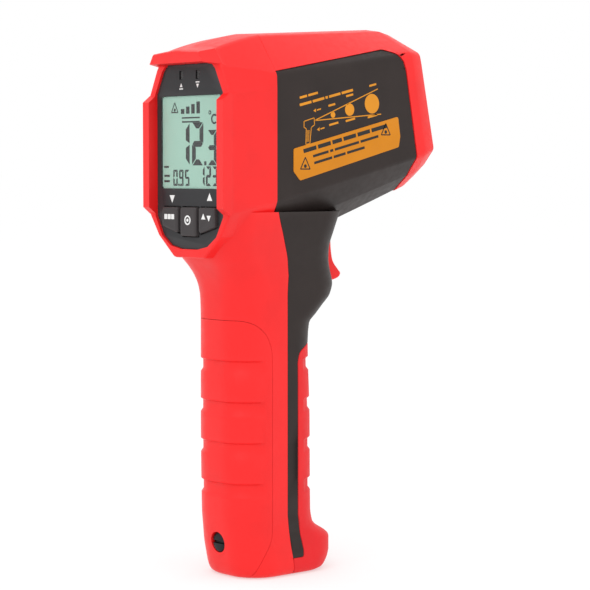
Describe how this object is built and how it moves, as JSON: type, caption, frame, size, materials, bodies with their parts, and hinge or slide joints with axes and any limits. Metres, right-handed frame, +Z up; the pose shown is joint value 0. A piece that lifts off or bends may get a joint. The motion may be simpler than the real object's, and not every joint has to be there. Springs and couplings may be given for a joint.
{
  "type": "infrared thermometer",
  "caption": "Pistol-grip infrared thermometer with a tilted barrel, hooded rear display, keys, trigger and a battery cover on the back of its upright handle.",
  "frame": {"origin": "centre of the handle, on the plane of its flat foot", "axes": "+Z up along the handle, +Y towards the muzzle, +X to the user's right"},
  "size_m": [0.048, 0.1141, 0.2091],
  "materials": {
    "red_shell": "fine satin moulded plastic",
    "dark_shell": "fine grained moulded plastic",
    "red_grip": "soft matt overmoulding",
    "panel_plastic": "semi gloss",
    "key_rubber": "matt",
    "clear_window": "clear polished",
    "lcd": "reflective display film",
    "white_diffuser": "milky",
    "circuit_board": "solder mask",
    "silicone_mat": "matt",
    "black_plastic": "matt",
    "black_metal": "black oxide",
    "brass": "turned",
    "steel": "zinc plated",
    "tube_metal": "black anodised",
    "lens_glass": "coated",
    "battery_case": "printed sleeve",
    "lead_plastic": "insulation",
    "label_film": "printed film"
  },
  "bodies": {
    "housing": {"rear_housing": "red_shell", "front_housing": "dark_shell", "top_cover": "red_shell", "front_grip": "red_grip", "cover_insert": "brass", "housing_screws": "steel", "display_panel": "panel_plastic", "lcd_window": "clear_window", "lcd_glass": "lcd", "lcd_backlight": "white_diffuser", "lcd_frame": "black_plastic", "contact_strip": "silicone_mat", "main_board": "circuit_board", "keypad_mat": "silicone_mat", "light_pipe_high": "white_diffuser", "light_pipe_low": "white_diffuser", "buzzer": "black_plastic", "nose_insert": "black_plastic", "lens_ring": "black_metal", "ir_lens": "lens_glass", "optical_tube": "tube_metal", "ir_sensor": "steel", "sensor_board": "circuit_board", "laser_module": "brass", "trigger_pin": "steel", "trigger_switch": "black_plastic", "battery": "battery_case", "battery_snap": "black_plastic", "battery_leads": "lead_plastic", "battery_tray": "black_plastic", "side_label": "label_film"},
    "battery_cover": {"battery_cover": "red_shell"},
    "cover_screw": {"cover_screw": "black_metal"},
    "key_left": {"key_left": "key_rubber"},
    "key_centre": {"key_centre": "key_rubber"},
    "key_right": {"key_right": "key_rubber"},
    "trigger": {"trigger": "red_shell", "trigger_spring": "steel"}
  },
  "joints": [
    {"name": "trigger_pull", "type": "hinge", "parent": "housing", "child": "trigger", "pos_m": [0, 0.0255, 0.1326], "axis": [-1, 0, 0], "range_deg": [0, 8], "stiffness_Nm_per_rad": 0.25, "springref_deg": -14.32},
    {"name": "key_left_press", "type": "slide", "parent": "housing", "child": "key_left", "axis": [0, 1, 0], "range_m": [0, 0.0008], "stiffness_N_per_m": 1200, "springref_m": -0.0006},
    {"name": "key_centre_press", "type": "slide", "parent": "housing", "child": "key_centre", "axis": [0, 1, 0], "range_m": [0, 0.0008], "stiffness_N_per_m": 1200, "springref_m": -0.0006},
    {"name": "key_right_press", "type": "slide", "parent": "housing", "child": "key_right", "axis": [0, 1, 0], "range_m": [0, 0.0008], "stiffness_N_per_m": 1200, "springref_m": -0.0006},
    {"name": "battery_cover_swing", "type": "hinge", "parent": "housing", "child": "battery_cover", "pos_m": [0, -0.0213, 0.0975], "axis": [-1, 0, 0], "range_deg": [0, 40]},
    {"name": "cover_screw_turn", "type": "hinge", "parent": "battery_cover", "child": "cover_screw", "pos_m": [0, -0.0192, 0.013], "axis": [0, 1, 0], "continuous": true}
  ]
}
